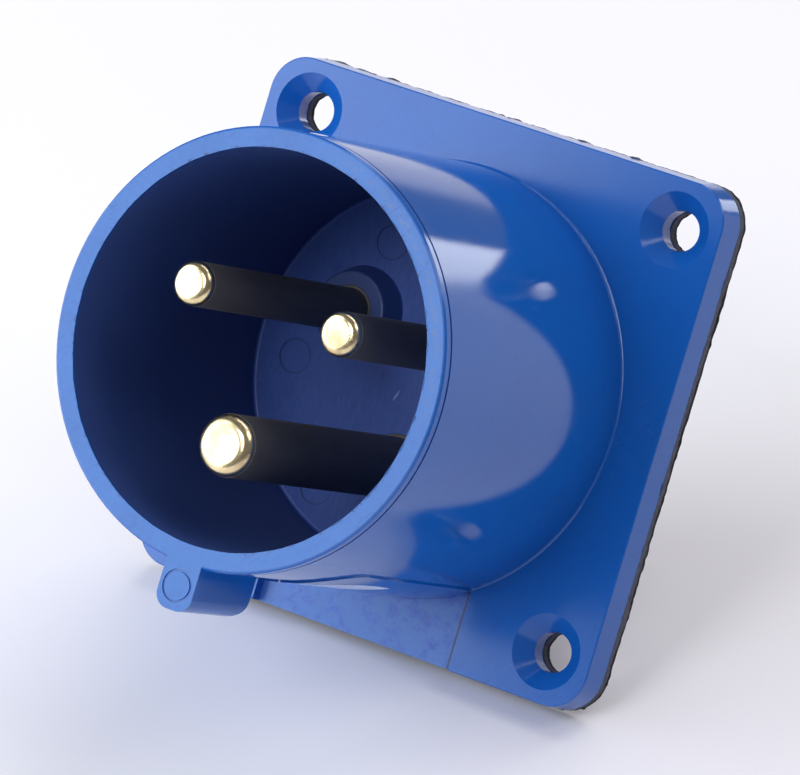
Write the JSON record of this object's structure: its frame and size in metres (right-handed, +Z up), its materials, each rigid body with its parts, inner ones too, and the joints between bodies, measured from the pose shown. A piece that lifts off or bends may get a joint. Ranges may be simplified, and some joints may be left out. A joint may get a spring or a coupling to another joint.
{
  "type": "industrial panel plug",
  "caption": "Square-flanged panel inlet for industrial power: round shroud with a key lug, brass contact pins, foam gasket and rear screw terminals.",
  "frame": {"origin": "middle of the four screw holes, on the face that lies on the panel", "axes": "+Y into the panel, so the mouth faces -Y; +Z up, with the key lug and the earth pin at the bottom; +X to the right seen from the mouth"},
  "size_m": [0.0612, 0.0675, 0.0612],
  "materials": {
    "housing_plastic": "smooth moulded, satin gloss",
    "gasket_foam": "cut closed-cell foam",
    "block_plastic": "moulded, matt",
    "brass": "turned, polished tips",
    "screw_steel": "zinc plated"
  },
  "bodies": {
    "root": {"housing": "housing_plastic", "panel_gasket": "gasket_foam", "terminal_block": "block_plastic", "live_pin": "brass", "live_terminal_screw": "screw_steel", "neutral_pin": "brass", "neutral_terminal_screw": "screw_steel", "earth_pin": "brass", "earth_terminal_screw": "screw_steel", "block_screw_top": "screw_steel", "block_screw_left": "screw_steel", "block_screw_right": "screw_steel"}
  },
  "joints": []
}
